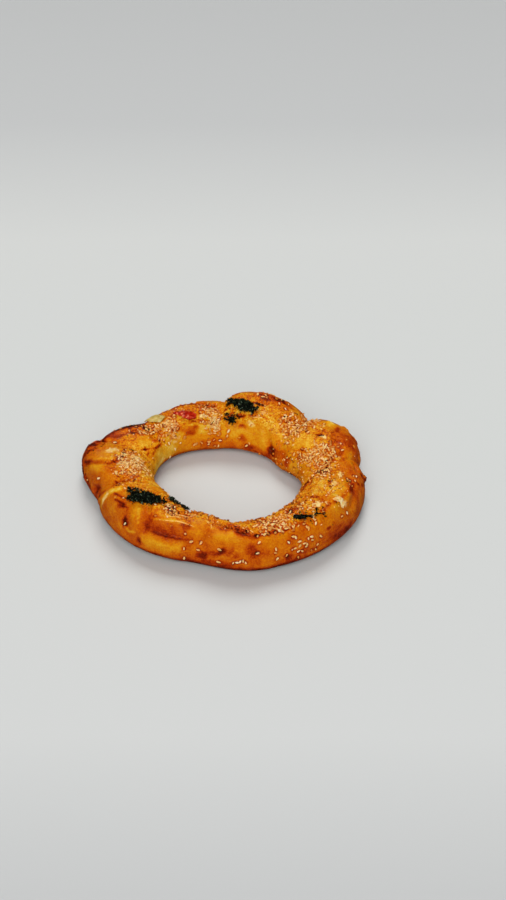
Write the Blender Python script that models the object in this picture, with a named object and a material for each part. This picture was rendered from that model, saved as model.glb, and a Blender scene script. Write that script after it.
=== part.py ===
# A ring khachapuri: a rope of cheese-filled dough closed into a ring, pinched into puffed lobes,
# egg-washed, baked brown, and strewn with sesame seeds and pinches of chopped herbs.
#
# +X is to the right, +Y runs away from the front, +Z is up, and the ring rests on z = 0.
# Every place on the dough is given as an angle and a turn, both in degrees. The angle runs round
# the ring, from +X towards +Y. The turn runs round the rope's own section: 0 is the ring's outer
# side, 90 its crest, 180 its inner side and 270 its underside. Sizes are in millimetres.
import math
from collections import namedtuple

import bmesh
import bpy
import numpy as np
from mathutils import Quaternion, Vector, kdtree, noise
from mathutils.bvhtree import BVHTree

MM = 0.001  # one millimetre in Blender's metres

# The rope's section
RING_CENTRE = Vector((-1.7, 1.7, 0.0))  # the ring is uneven, so its own centre isn't the box's
WIDEST_HEIGHT = 9.0  # height at which the rope is widest
SECTION_POWER = 2.2  # 2 is an ellipse, and more is boxier
UNDERSIDE_ROUND = 1.2  # how early the underside meets the flat that it was baked on
MEAN_SECTION_RADIUS = 24.0  # turns a turn into a distance over the rope

# One row for each puffed lobe, starting at the pinch where it begins. The pinch runs from
# outer_angle at the outer side to inner_angle at the inner side. Outer and inner radius and crest
# height are those of the pinch. The lobe then bulges outwards and rises by the amounts given. A
# skew over 1 puts its fullest place nearer to the next pinch, and a low sharpness makes it blunt,
# with deep pinches, where 1 makes a soft wave.
Lobe = namedtuple(
    "Lobe",
    "outer_angle inner_angle outer_radius crest inner_radius bulge rise skew sharpness rows",
)
LOBES = [
    Lobe(8, -7, 114.5, 27, 67, 14, 9, 1.5, 0.55, 12),  # right, a high dome
    Lobe(42, 28, 101.5, 27, 51.5, 14, 10, 1.45, 0.55, 13),  # far, the highest dome
    Lobe(86, 93, 91.5, 31, 47.5, 0, 5, 1.0, 0.6, 13),  # far left, low and long
    Lobe(138, 149, 93.5, 28, 55, 1, 4, 1.0, 0.7, 6),  # short band above the ear
    Lobe(160.5, 170, 113.5, 27, 54.5, 6.5, 6, 0.65, 0.6, 13),  # left, the ear
    Lobe(195, 221, 99.5, 34, 51, 3.5, 5, 0.7, 0.8, 14),  # near left
    Lobe(256, 250, 98.5, 33, 61, 0, 3, 0.95, 0.9, 9),  # near
    Lobe(296, 281, 111.5, 33, 73, 6, 4, 1.2, 0.85, 17),  # near right
]

# Grooves and ridges: the dough is lifted by height along the line through the places given. A
# groove's height is below 0. The lift falls to a third at width from the line.
Fold = namedtuple("Fold", "places height width")
FOLDS = [
    Fold([(176, 21), (184, 61), (187, 91)], -2.4, 2.4),  # crease across the ear
    Fold([(163, 50), (152, 58), (141, 68)], 1.8, 5.0),  # lip of the band above the ear
    Fold([(157, 76), (144, 92)], -1.6, 3.2),
    Fold([(164.5, 125), (160, 132)], -0.9, 1.8),
    Fold([(190, 8), (194, 24)], -2.8, 2.6),  # notch below the ear
    Fold([(199, 8), (203, 27), (206, 52), (209, 68)], 1.4, 2.0),  # lip of the near left lobe
    Fold([(222, 74), (226, 26)], -0.9, 4.0),  # and its soft ribs
    Fold([(231, 82), (234, 36)], -0.9, 4.0),
    Fold([(237, 35), (247, 40), (256, 37)], -2.4, 4.2),  # long groove with a ridge below it
    Fold([(236, 19), (247, 23), (255, 21)], 1.3, 6.0),
    Fold([(240, 63), (250, 74), (257, 84)], 1.0, 3.0),
    Fold([(262, 38), (264, 56), (267, 78)], -1.3, 2.2),  # seam where the next lobe begins
    Fold([(267, 97), (273, 92), (281, 80), (287, 58)], -2.6, 3.4),  # slanting groove of the near lobe
    Fold([(267, 58), (276, 52), (285, 48)], 1.3, 6.0),
    Fold([(351, 64), (342, 50), (333, 30)], -1.3, 3.8),  # soft groove inside the right edge
    Fold([(24, 66), (14, 80), (4, 84)], -1.4, 4.2),  # the right dome's inner edge
    Fold([(74, 88), (60, 98), (48, 98)], -1.2, 5.0),  # the far dome's inner edge
    Fold([(50, 138), (36, 164)], -1.4, 2.8),  # crumpled inner wall
    Fold([(30, 132), (20, 160)], -1.2, 2.8),
    Fold([(104, 146), (80, 143), (56, 148)], -0.9, 3.4),  # edge of the smooth inner wall
    Fold([(330, 118), (318, 112)], -1.2, 2.6),
]

# Blisters, and dents where the height is below 0
Blister = namedtuple("Blister", "angle turn radius height")
BLISTERS = [
    Blister(118.5, 144, 5.2, 1.7),  # round orange blister by the pepper
    Blister(154, 117, 7.0, -1.6),  # dent with cheese in it
    Blister(152.5, 141, 3.0, 1.2),
    Blister(167, 40, 3.5, 1.4),  # burnt tips of the ear
    Blister(180, 6, 3.0, 1.6),
    Blister(358, 12, 3.0, 2.6),  # flake in the right-hand pinch
    Blister(19, 94, 2.6, -2.2),  # steam hole
    Blister(41, 160, 3.2, -1.2),
    Blister(224, 28, 4.2, -1.1),
    Blister(330, 68, 4.5, 1.0),
    Blister(66, 130, 5.0, 0.9),
]
UNEVEN_HEIGHT = 0.7  # how high the lumps of the hand-made rope are
UNEVEN_SIZE = 15.0  # and how wide

# The mesh of the rope: steps over its top, and the turns of its lower half
TOP_STEPS = 16
LOWER_TURNS = [180, 200, 220, 240, 270, 300, 320, 340]
ROW_CROWDING = 0.5  # 0 spaces a lobe's rows evenly, 1 crowds them at its pinches

# Sesame seeds, which stick half sunk in the egg wash
SEED_LENGTH, SEED_WIDTH, SEED_THICKNESS = 3.3, 2.0, 1.3
SEED_SIDES, SEED_RINGS = 6, 3
SEED_SINK = 0.32  # share of its thickness
SEED_SPACING = 2.9
SEED_CLEARANCE = 3.4  # from a seed's centre to any topping
# Where they lie: the middle of each drift, its spread along and across the rope, and its number
DRIFT_TIGHTNESS = 0.75  # how much nearer than their spread the seeds crowd
Drift = namedtuple("Drift", "angle turn along across number")
DRIFTS = [
    Drift(196, 101, 14, 8, 22),
    Drift(133, 102, 10, 7, 9),
    Drift(96, 100, 6, 12, 16),
    Drift(98, 146, 8, 4, 3),
    Drift(34, 98, 8, 9, 16),
    Drift(1, 104, 8, 9, 18),
    Drift(352, 60, 5, 6, 5),
    Drift(300, 82, 12, 6, 14),
    Drift(300, 38, 22, 12, 15),
    Drift(262, 42, 22, 12, 9),
    Drift(187, 48, 10, 9, 4),
    Drift(60, 50, 14, 8, 4),
    Drift(118, 45, 14, 8, 4),
]

# Toppings lie on the crust and don't touch it
TOPPING_GAP = 0.9
TOPPING_STEPS = 7  # stations along a topping
TOPPING_SHARE = (-1.0, -0.5, 0.0, 0.5, 1.0)  # columns across it, of its half width
# Each piece follows the places given, with its width at each
Piece = namedtuple("Piece", "name places widths thickness colour roughness")
PIECES = [
    Piece("red_pepper_piece", [(124, 91), (119.5, 101), (115, 111), (110, 113)], [3, 7, 9, 4], 1.9,
          (0.50, 0.035, 0.012), 0.18),
    Piece("pale_slice", [(137.5, 55), (135.5, 74), (133, 95)], [5, 12, 8], 1.6, (0.56, 0.50, 0.20), 0.25),
    Piece("cheese_curl", [(328.6, 67), (330.6, 61), (331.2, 53), (329.6, 45)], [2.5, 4.2, 4.6, 2.8], 2.4,
          (0.83, 0.66, 0.36), 0.4),
]
# Each pinch of herbs has a low core along the places given, and leaflets on it
Clump = namedtuple("Clump", "name places widths leaflets")
CLUMPS = [
    Clump("herb_clump_far", [(85, 91), (76, 104), (66, 113)], [3, 8, 5], 13),
    Clump("herb_clump_far_small", [(84, 129), (79, 134)], [4, 5], 6),
    Clump("herb_clump_left", [(217, 72), (225, 85), (233, 103)], [5, 10, 6], 15),
    Clump("herb_clump_left_inner", [(234, 121), (240, 126), (248, 126)], [4, 5, 3], 7),
    Clump("herb_clump_right", [(307, 84), (310, 74), (314.5, 67), (319, 60)], [5, 6, 2.5, 2.5], 6),
]
CLUMP_THICKNESS = 2.2
HERB_COLOUR, HERB_ROUGHNESS = (0.012, 0.030, 0.012), 0.6
LEAFLET_LENGTH, LEAFLET_WIDTH, LEAFLET_THICKNESS = 4.4, 2.2, 0.9
LEAFLET_LIFT = 2.8  # how far a leaflet's tip stands off the dough, at most
CRUST_COLOUR, CRUST_ROUGHNESS = (0.62, 0.24, 0.035), 0.3
RANDOM_SEED = 12


def mix(a, b, share):
    return a + (b - a) * share


def between(points, share):
    """The place at this share, 0 to 1, of a smooth line through the points."""
    at = share * (len(points) - 1)
    k = min(int(at), len(points) - 2)
    t = at - k
    last = len(points) - 1
    p0, p1, p2, p3 = (np.array(points[min(max(k + i, 0), last)], float) for i in (-1, 0, 1, 2))
    cubic = 3 * (p1 - p2) + p3 - p0
    return p1 + 0.5 * t * (p2 - p0 + t * (2 * p0 - 5 * p1 + 4 * p2 - p3 + t * cubic))


def pinch_angle(lobe, turn):
    """A pinch slants, so its angle depends on how far over the rope one is."""
    return mix(lobe.outer_angle, lobe.inner_angle, (1 - math.cos(math.radians(turn))) / 2)


def next_lobe(lobe):
    return LOBES[(LOBES.index(lobe) + 1) % len(LOBES)]


def lobe_span(lobe, turn):
    return (pinch_angle(next_lobe(lobe), turn) - pinch_angle(lobe, turn)) % 360


def lobe_at(angle, turn):
    """The lobe at this place, and the share of it that lies behind."""
    for lobe in LOBES:
        share = ((angle - pinch_angle(lobe, turn)) % 360) / lobe_span(lobe, turn)
        if share < 1:
            return lobe, share
    return LOBES[0], 0.0


def smooth_point(angle, turn):
    """The rope with its lobes, without its folds."""
    lobe, share = lobe_at(angle, turn)
    ahead = next_lobe(lobe)
    eased = (1 - math.cos(math.pi * share)) / 2
    skewed = share**lobe.skew
    puff = (4 * skewed * (1 - skewed)) ** lobe.sharpness
    outer = mix(lobe.outer_radius, ahead.outer_radius, eased) + lobe.bulge * puff
    inner = mix(lobe.inner_radius, ahead.inner_radius, eased)
    crest = mix(lobe.crest, ahead.crest, eased) + lobe.rise * puff
    side, up = math.cos(math.radians(turn)), math.sin(math.radians(turn))
    boxed_side = math.copysign(abs(side) ** (2 / SECTION_POWER), side)
    radius = (outer + inner) / 2 + (outer - inner) / 2 * boxed_side
    if up > 0:
        height = WIDEST_HEIGHT + (crest - WIDEST_HEIGHT) * up ** (2 / SECTION_POWER)
    else:
        height = max(0.0, WIDEST_HEIGHT * (1 + UNDERSIDE_ROUND * up))
    around = math.radians(angle)
    return RING_CENTRE + Vector((radius * math.cos(around), radius * math.sin(around), height))


def normal_at(angle, turn, step=1.0):
    along = smooth_point(angle + step, turn) - smooth_point(angle - step, turn)
    over = smooth_point(angle, turn + step) - smooth_point(angle, turn - step)
    return along.cross(over).normalized()


def offset_mm(angle, turn, place, reach):
    """How far a place lies along and across the rope from here; reach is the distance to the axis."""
    along = math.radians((place[0] - angle + 180) % 360 - 180) * reach
    across = math.radians((place[1] - turn + 180) % 360 - 180) * MEAN_SECTION_RADIUS
    return along, across


def distance_to_line(ends):
    """From here, which is the origin, to the stretch between two offsets."""
    (ax, ay), (bx, by) = ends
    dx, dy = bx - ax, by - ay
    share = min(max(-(ax * dx + ay * dy) / (dx * dx + dy * dy), 0), 1)
    return math.hypot(ax + share * dx, ay + share * dy)


def relief(angle, turn, point):
    """How far the folds, blisters and unevenness lift the dough here. It fades out underneath."""
    shown = min(max((math.sin(math.radians(turn)) + 0.45) / 0.4, 0), 1)
    if shown == 0:
        return 0.0
    reach = math.hypot(point.x, point.y)
    lift = UNEVEN_HEIGHT * noise.noise(point / UNEVEN_SIZE)
    for fold in FOLDS:
        offsets = [offset_mm(angle, turn, place, reach) for place in fold.places]
        apart = min(distance_to_line(ends) for ends in zip(offsets, offsets[1:]))
        lift += fold.height * math.exp(-((apart / fold.width) ** 2))
    for blister in BLISTERS:
        apart = math.hypot(*offset_mm(angle, turn, (blister.angle, blister.turn), reach))
        lift += blister.height * math.exp(-((apart / blister.radius) ** 2))
    return lift * shown


def surface_point(angle, turn, lift=0.0):
    """The dough's surface, or a place that is lift above it."""
    turn %= 360
    point = smooth_point(angle, turn)
    lifted = relief(angle, turn, point) + lift
    return point + normal_at(angle, turn) * lifted if lifted else point


def shifted(place, along, across):
    """A place moved by millimetres along and across the rope."""
    reach = smooth_point(*place).xy.length
    return place[0] + math.degrees(along / reach), place[1] + math.degrees(across / MEAN_SECTION_RADIUS)


def material(name, colour, roughness):
    made = bpy.data.materials.new(name)
    made.use_nodes = True
    shader = made.node_tree.nodes["Principled BSDF"]
    shader.inputs["Base Color"].default_value = (*colour, 1)
    shader.inputs["Roughness"].default_value = roughness
    shader.inputs["Metallic"].default_value = 0
    return made


def object_of(name, points, faces, finish=None, collection=None):
    """A mesh object from points in millimetres, its faces turned outwards."""
    mesh = bpy.data.meshes.new(name)
    mesh.from_pydata([point * MM for point in points], [], faces)
    body = bmesh.new()
    body.from_mesh(mesh)
    bmesh.ops.recalc_face_normals(body, faces=body.faces)
    body.to_mesh(mesh)
    body.free()
    if finish:
        mesh.materials.append(finish)
    made = bpy.data.objects.new(name, mesh)
    (collection or bpy.context.scene.collection).objects.link(made)
    return made


def skin(rings, closed):
    """Quads between rings of equally many points. A skin with open ends is that of a thin piece: one
    half of each ring is its lower side and the other its upper, and both are split alike."""
    count = len(rings[0])
    faces = []
    for k in range(len(rings) - (not closed)):
        here, there = k * count, (k + 1) % len(rings) * count
        for i in range(count):
            j = (i + 1) % count
            a, b, c, d = here + i, here + j, there + j, there + i
            if closed:
                faces.append((a, b, c, d))
            elif i < count / 2:
                faces += [(a, b, c), (a, c, d)]
            else:
                faces += [(a, b, d), (b, c, d)]
    if not closed:
        for end in (0, (len(rings) - 1) * count):
            for i in range(count // 2 - 1):
                faces.append((end + i, end + i + 1, end + count - 2 - i, end + count - 1 - i))
    return [point for ring in rings for point in ring], faces


def lobe_rows(lobe):
    """The shares of a lobe at which its mesh has rows, crowded towards its pinches."""
    for k in range(lobe.rows):
        even = k / lobe.rows
        yield mix(even, (1 - math.cos(math.pi * even)) / 2, ROW_CROWDING)


def bread_core():
    turns = [180 * k / TOP_STEPS for k in range(TOP_STEPS)] + LOWER_TURNS
    rings = []
    for lobe in LOBES:
        for share in lobe_rows(lobe):
            angles = [pinch_angle(lobe, turn) + share * lobe_span(lobe, turn) for turn in turns]
            rings.append([surface_point(*place) for place in zip(angles, turns)])
    crust = material("egg_washed_crust", CRUST_COLOUR, CRUST_ROUGHNESS)
    return object_of("bread_ring", *skin(rings, closed=True), crust)


def strip_rings(places, widths, thickness, taper=0.35):
    """Sections of a topping that follows the places: flat below, gently domed above."""
    rings = []
    for k in range(TOPPING_STEPS):
        share = k / (TOPPING_STEPS - 1)
        place, width = between(places, share), float(between([(w,) for w in widths], share)[0])
        ahead, behind = (between(places, min(max(share + d, 0), 1)) for d in (0.02, -0.02))
        reach = smooth_point(*place).xy.length
        run = Vector(offset_mm(*behind, ahead, reach)).normalized() * width / 2
        height = thickness * mix(taper, 1, math.sin(math.pi * share))
        below, above = [], []
        for side in TOPPING_SHARE:
            spot = shifted(place, -run.y * side, run.x * side)
            below.append(surface_point(*spot, TOPPING_GAP))
            above.append(surface_point(*spot, TOPPING_GAP + height * mix(1, taper, side * side)))
        rings.append(below + above[::-1])
    return rings


def leaflet(place, heading, length, lift):
    """A thin pointed leaf, its upper and lower faces split alike, rising from one end to the other."""
    rings = []
    for share, half in ((0.0, 0.25), (0.35, 1.0), (0.7, 0.75), (1.0, 0.15)):
        wave = 0.4 * math.sin(share * 5)
        spot = shifted(place, *(Vector((math.cos(heading), math.sin(heading))) * length * share))
        edge = Vector((-math.sin(heading), math.cos(heading))) * LEAFLET_WIDTH / 2 * half
        height = TOPPING_GAP + 0.7 + lift * share + wave
        left, right = shifted(spot, *edge), shifted(spot, *-edge)
        rings.append([
            surface_point(*left, height),
            surface_point(*spot, height + LEAFLET_THICKNESS / 2 * mix(0.5, 1, half)),
            surface_point(*right, height),
            surface_point(*spot, height - LEAFLET_THICKNESS / 2 * mix(0.5, 1, half)),
        ])
    return skin(rings, closed=False)


def fuse(body, pieces):
    """One Boolean union joins the pieces to the body, and the pieces are then removed."""
    union = body.modifiers.new("union", "BOOLEAN")
    union.operation = "UNION"
    union.solver = "EXACT"
    union.operand_type = "COLLECTION"
    union.collection = pieces
    graph = bpy.context.evaluated_depsgraph_get()
    joined = bpy.data.meshes.new_from_object(body.evaluated_get(graph))
    drop_scraps(joined)
    body.modifiers.clear()
    old = body.data
    body.data = joined
    bpy.data.meshes.remove(old)
    for piece in list(pieces.objects):
        bpy.data.objects.remove(piece)
    bpy.data.collections.remove(pieces)


def islands(body):
    """The separate shells of a mesh, each as a list of its vertices."""
    left = set(body.verts)
    while left:
        edge_of_search = [left.pop()]
        found = list(edge_of_search)
        while edge_of_search:
            vert = edge_of_search.pop()
            for edge in vert.link_edges:
                other = edge.other_vert(vert)
                if other in left:
                    left.remove(other)
                    found.append(other)
                    edge_of_search.append(other)
        yield found


def drop_scraps(mesh):
    """Keeps the outer shell alone: hollows that the union sealed are filled, and loose scraps go."""
    body = bmesh.new()
    body.from_mesh(mesh)
    shells = sorted(islands(body), key=len)
    bmesh.ops.delete(body, geom=[vert for shell in shells[:-1] for vert in shell], context="VERTS")
    body.to_mesh(mesh)
    body.free()


def new_pieces(name):
    pieces = bpy.data.collections.new(name)
    bpy.context.scene.collection.children.link(pieces)
    return pieces


def herb_clump(clump, finish, draw):
    rings = strip_rings(clump.places, clump.widths, CLUMP_THICKNESS)
    body = object_of(clump.name, *skin(rings, closed=False), finish)
    leaves = new_pieces(clump.name + "_leaves")
    for k in range(clump.leaflets):
        share = (k + draw.random()) / clump.leaflets
        width = float(between([(w,) for w in clump.widths], share)[0])
        spot = shifted(between(clump.places, share), 0, draw.uniform(-0.3, 0.3) * width)
        length = LEAFLET_LENGTH * draw.uniform(0.75, 1.2)
        heading, lift = draw.uniform(0, 2 * math.pi), draw.uniform(0.2, 1) * LEAFLET_LIFT
        object_of("leaflet", *leaflet(spot, heading, length, lift), finish, leaves)
    fuse(body, leaves)
    return body


def seed_mesh():
    """A seed lying along X: blunt at one end, pointed at the other."""
    body = bmesh.new()
    bmesh.ops.create_uvsphere(body, u_segments=SEED_SIDES, v_segments=SEED_RINGS, radius=1)
    for vert in body.verts:
        x, y, z = vert.co.z, vert.co.x, vert.co.y
        narrow = 1 - 0.35 * x
        vert.co = Vector((x * SEED_LENGTH, y * SEED_WIDTH * narrow, z * SEED_THICKNESS)) / 2 * MM
    bmesh.ops.recalc_face_normals(body, faces=body.faces)
    mesh = bpy.data.meshes.new("sesame_seed")
    body.to_mesh(mesh)
    body.free()
    return mesh


def points_tree(objects):
    """For finding how near the objects' points are."""
    points = [vert.co / MM for thing in objects for vert in thing.data.vertices]
    tree = kdtree.KDTree(len(points))
    for k, point in enumerate(points):
        tree.insert(point, k)
    tree.balance()
    return tree


def clear_spot(drift, bread_faces, toppings, placed, draw):
    """A place in the drift for one more seed, and the way up there, or nothing if it is full."""
    for _ in range(30):
        along, across = draw.normal(0, (drift.along, drift.across)) * DRIFT_TIGHTNESS
        near = surface_point(*shifted((drift.angle, drift.turn), along, across))
        centre, up = bread_faces.find_nearest(near * MM)[:2]
        centre = centre / MM + up * SEED_THICKNESS * (0.5 - SEED_SINK)
        if toppings.find(centre)[2] < SEED_CLEARANCE:
            continue
        if all((centre - other).length > SEED_SPACING for other in placed):
            return centre, up
    return None


def strew_seeds(bread, toppings, draw):
    bread_faces = BVHTree.FromObject(bread, bpy.context.evaluated_depsgraph_get())
    toppings = points_tree(toppings)
    seeds = new_pieces("seeds")
    mesh = seed_mesh()
    placed = []
    for drift in DRIFTS:
        for _ in range(drift.number):
            spot = clear_spot(drift, bread_faces, toppings, placed, draw)
            if not spot:
                continue
            centre, up = spot
            placed.append(centre)
            seed = bpy.data.objects.new("sesame_seed", mesh)
            seed.location = centre * MM
            seed.rotation_mode = "QUATERNION"
            spin = Quaternion((0, 0, 1), draw.uniform(0, 2 * math.pi))
            seed.rotation_quaternion = Vector((0, 0, 1)).rotation_difference(up) @ spin
            seeds.objects.link(seed)
    bpy.context.view_layer.update()
    fuse(bread, seeds)


def main():
    for old in list(bpy.data.objects):
        bpy.data.objects.remove(old)
    draw = np.random.default_rng(RANDOM_SEED)
    herbs = material("chopped_herbs", HERB_COLOUR, HERB_ROUGHNESS)
    toppings = [herb_clump(clump, herbs, draw) for clump in CLUMPS]
    for piece in PIECES:
        finish = material(piece.name, piece.colour, piece.roughness)
        rings = strip_rings(piece.places, piece.widths, piece.thickness)
        toppings.append(object_of(piece.name, *skin(rings, closed=False), finish))
    bread = bread_core()
    strew_seeds(bread, toppings, draw)
    for made in [bread, *toppings]:
        made.data.shade_smooth()


if __name__ == "__main__":
    main()
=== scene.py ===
import math

import bpy
import numpy as np
from mathutils import Matrix, Quaternion, Vector, kdtree, noise
from mathutils.bvhtree import BVHTree


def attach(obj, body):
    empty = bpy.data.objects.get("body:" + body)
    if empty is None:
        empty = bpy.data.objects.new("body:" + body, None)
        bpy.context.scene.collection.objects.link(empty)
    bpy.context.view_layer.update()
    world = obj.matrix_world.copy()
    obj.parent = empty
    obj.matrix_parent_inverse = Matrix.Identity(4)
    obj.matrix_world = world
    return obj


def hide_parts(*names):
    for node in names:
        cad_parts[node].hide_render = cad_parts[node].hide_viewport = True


# A ring khachapuri: browned egg-washed crust, sesame seeds, pinches of chopped herbs, and toppings.
#
# Places on the dough are an angle round the ring (0 is +X, 90 is +Y, away from the front) and a turn
# round the rope's own section (0 outer side, 90 crest, 180 inner side, 270 underside), in degrees.
# Sizes on the dough are in millimetres, and Blender's are in metres.

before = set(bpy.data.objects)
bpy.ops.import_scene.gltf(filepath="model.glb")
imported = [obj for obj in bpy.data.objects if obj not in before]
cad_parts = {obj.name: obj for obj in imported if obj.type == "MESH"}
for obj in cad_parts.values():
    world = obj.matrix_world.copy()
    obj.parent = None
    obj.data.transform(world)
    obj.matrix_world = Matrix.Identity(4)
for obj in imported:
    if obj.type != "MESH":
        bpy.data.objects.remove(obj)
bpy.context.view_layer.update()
print("frame loaded:", ", ".join(sorted(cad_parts)))

mm = 0.001
draw = np.random.default_rng(7)


def mix(a, b, share):
    return a + (b - a) * share


def deselectAll():
    bpy.ops.object.select_all(action="DESELECT")


def pick(*pieces):
    deselectAll()
    for piece in pieces:
        piece.select_set(True)
    bpy.context.view_layer.objects.active = pieces[0]


def applyAll(piece):
    pick(piece)
    for modifier in list(piece.modifiers):
        bpy.ops.object.modifier_apply(modifier=modifier.name)


def coordinates(mesh):
    places = np.empty(len(mesh.vertices) * 3)
    mesh.vertices.foreach_get("co", places)
    return places.reshape(-1, 3)


def addAttribute(mesh, name, values):
    made = mesh.attributes.new(name, "FLOAT", "POINT")
    made.data.foreach_set("value", np.asarray(values, np.float32))


dough = {
    "centre": (-1.7, 1.7),
    "widestHeight": 9.0,
    "sectionPower": 2.2,
    "undersideRound": 1.2,
    "sectionRadius": 24.0,  # turns a turn into a distance over the rope
    # outer angle, inner angle, outer radius, crest, inner radius, bulge, rise, skew, sharpness
    "lobes": [
        (8, -7, 114.5, 27, 67, 14, 9, 1.5, 0.55),
        (42, 28, 101.5, 27, 51.5, 14, 10, 1.45, 0.55),
        (86, 93, 91.5, 31, 47.5, 0, 5, 1.0, 0.6),
        (138, 149, 93.5, 28, 55, 1, 4, 1.0, 0.7),
        (160.5, 170, 113.5, 27, 54.5, 6.5, 6, 0.65, 0.6),
        (195, 221, 99.5, 34, 51, 3.5, 5, 0.7, 0.8),
        (256, 250, 98.5, 33, 61, 0, 3, 0.95, 0.9),
        (296, 281, 111.5, 33, 73, 6, 4, 1.2, 0.85),
    ],
    # places along the fold, height, width
    "folds": [
        ([(176, 21), (184, 61), (187, 91)], -2.4, 2.4),
        ([(163, 50), (152, 58), (141, 68)], 1.8, 5.0),
        ([(157, 76), (144, 92)], -1.6, 3.2),
        ([(164.5, 125), (160, 132)], -0.9, 1.8),
        ([(190, 8), (194, 24)], -2.8, 2.6),
        ([(199, 8), (203, 27), (206, 52), (209, 68)], 1.4, 2.0),
        ([(222, 74), (226, 26)], -0.9, 4.0),
        ([(231, 82), (234, 36)], -0.9, 4.0),
        ([(237, 35), (247, 40), (256, 37)], -2.4, 4.2),
        ([(236, 19), (247, 23), (255, 21)], 1.3, 6.0),
        ([(240, 63), (250, 74), (257, 84)], 1.0, 3.0),
        ([(262, 38), (264, 56), (267, 78)], -1.3, 2.2),
        ([(267, 97), (273, 92), (281, 80), (287, 58)], -2.6, 3.4),
        ([(267, 58), (276, 52), (285, 48)], 1.3, 6.0),
        ([(351, 64), (342, 50), (333, 30)], -1.3, 3.8),
        ([(24, 66), (14, 80), (4, 84)], -1.4, 4.2),
        ([(74, 88), (60, 98), (48, 98)], -1.2, 5.0),
        ([(50, 138), (36, 164)], -1.4, 2.8),
        ([(30, 132), (20, 160)], -1.2, 2.8),
        ([(104, 146), (80, 143), (56, 148)], -0.9, 3.4),
        ([(330, 118), (318, 112)], -1.2, 2.6),
    ],
    # angle, turn, radius, height
    "blisters": [
        (118.5, 144, 5.2, 1.7), (154, 117, 7.0, -1.6), (152.5, 141, 3.0, 1.2), (167, 40, 3.5, 1.4),
        (180, 6, 3.0, 1.6), (358, 12, 3.0, 2.6), (19, 94, 2.6, -2.2), (41, 160, 3.2, -1.2),
        (224, 28, 4.2, -1.1), (330, 68, 4.5, 1.0), (66, 130, 5.0, 0.9),
    ],
    "unevenHeight": 0.7,
    "unevenSize": 15.0,
}


def lobeStarts(turn):
    # where each lobe starts at this turn, and how far it reaches, one column for each lobe
    lobes = np.array(dough["lobes"], float)
    ahead = np.roll(lobes, -1, axis=0)
    lean = (1 - np.cos(np.radians(turn)))[:, None] / 2
    start = mix(lobes[:, 0], lobes[:, 1], lean)
    return start, (mix(ahead[:, 0], ahead[:, 1], lean) - start) % 360


def smoothDough(angle, turn):
    start, span = lobeStarts(turn)
    share = ((angle[:, None] - start) % 360) / span
    which = np.argmin(share, axis=1)
    share = np.clip(share[np.arange(len(angle)), which], 0, 1)
    lobes = np.array(dough["lobes"], float)
    _, _, outer, crest, inner, bulge, rise, skew, sharpness = lobes[which].T
    ahead = np.roll(lobes, -1, axis=0)[which]
    eased = (1 - np.cos(np.pi * share)) / 2
    skewed = share**skew
    puff = (4 * skewed * (1 - skewed)) ** sharpness
    outer = mix(outer, ahead[:, 2], eased) + bulge * puff
    crest = mix(crest, ahead[:, 3], eased) + rise * puff
    inner = mix(inner, ahead[:, 4], eased)
    side, up = np.cos(np.radians(turn)), np.sin(np.radians(turn))
    power = 2 / dough["sectionPower"]
    radius = (outer + inner) / 2 + (outer - inner) / 2 * np.sign(side) * np.abs(side) ** power
    widest = dough["widestHeight"]
    over = widest + (crest - widest) * np.abs(up) ** power
    under = np.maximum(0, widest * (1 + dough["undersideRound"] * up))
    around = np.radians(angle)
    x = dough["centre"][0] + radius * np.cos(around)
    y = dough["centre"][1] + radius * np.sin(around)
    return np.stack([x, y, np.where(up > 0, over, under)], axis=1)


def doughNormals(angle, turn, step=1.0):
    along = smoothDough(angle + step, turn) - smoothDough(angle - step, turn)
    over = smoothDough(angle, turn + step) - smoothDough(angle, turn - step)
    normals = np.cross(along, over)
    return normals / np.linalg.norm(normals, axis=1)[:, None]


def offsetsTo(place, angle, turn, reach):
    # how far the place lies along and across the rope from each of these
    along = np.radians((place[0] - angle + 180) % 360 - 180) * reach
    across = np.radians((place[1] - turn + 180) % 360 - 180) * dough["sectionRadius"]
    return along, across


def lineDistance(places, angle, turn, reach):
    nearest = np.full(len(angle), 1e9)
    for one, two in zip(places, places[1:]):
        ax, ay = offsetsTo(one, angle, turn, reach)
        bx, by = offsetsTo(two, angle, turn, reach)
        dx, dy = bx - ax, by - ay
        share = np.clip(-(ax * dx + ay * dy) / (dx * dx + dy * dy + 1e-9), 0, 1)
        nearest = np.minimum(nearest, np.hypot(ax + share * dx, ay + share * dy))
    return nearest


def fade(apart, edge=2):
    # 1 in the middle and towards 0 past 1: a higher edge falls later and faster
    return np.exp(-(np.abs(apart) ** edge))


def overUnderside(turn, drop, blend=0.4):
    # 1 on the top and the sides, and 0 on the underside from this far below the widest part
    return np.clip((np.sin(np.radians(turn)) + drop) / blend, 0, 1)


def noiseAt(places, size, shift=0.0):
    away = Vector((shift, -shift, shift * 0.5))
    return np.array([noise.noise(Vector(place) / size + away) for place in places])


def foldRelief(angle, turn, places):
    reach = np.hypot(places[:, 0], places[:, 1])
    lift = dough["unevenHeight"] * noiseAt(places, dough["unevenSize"])
    for line, height, width in dough["folds"]:
        apart = lineDistance(line, angle, turn, reach)
        lift += height * fade(apart / width)
    for around, over, radius, height in dough["blisters"]:
        apart = np.hypot(*offsetsTo((around, over), angle, turn, reach))
        lift += height * fade(apart / radius)
    return lift * overUnderside(turn, 0.45)


def doughSurface(angle, turn):
    places = smoothDough(angle, turn)
    return places + doughNormals(angle, turn) * foldRelief(angle, turn, places)[:, None]


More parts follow.
